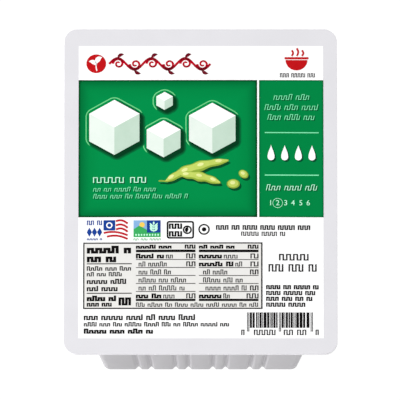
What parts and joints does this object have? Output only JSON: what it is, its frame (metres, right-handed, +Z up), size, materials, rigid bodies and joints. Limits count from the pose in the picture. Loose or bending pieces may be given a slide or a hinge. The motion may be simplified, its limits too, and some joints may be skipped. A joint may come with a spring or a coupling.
{
  "type": "sealed tofu tub",
  "caption": "Rectangular plastic food tub with a wide flat flange, tapered walls with paired stiffening grooves, and a printed film lid sealed flush to the flange.",
  "frame": {"origin": "middle of the foot, on the surface that the tub stands on", "axes": "+Z up, +X across the pack's width, +Y along its length, away from the short side that the print reads from"},
  "size_m": [0.112, 0.14, 0.051],
  "materials": {
    "tub_plastic": "satin milky polypropylene, thermoformed",
    "lid_film": "smooth printed white film, semi-gloss"
  },
  "bodies": {
    "root": {"tub": "tub_plastic", "lid_film": "lid_film"}
  },
  "joints": []
}
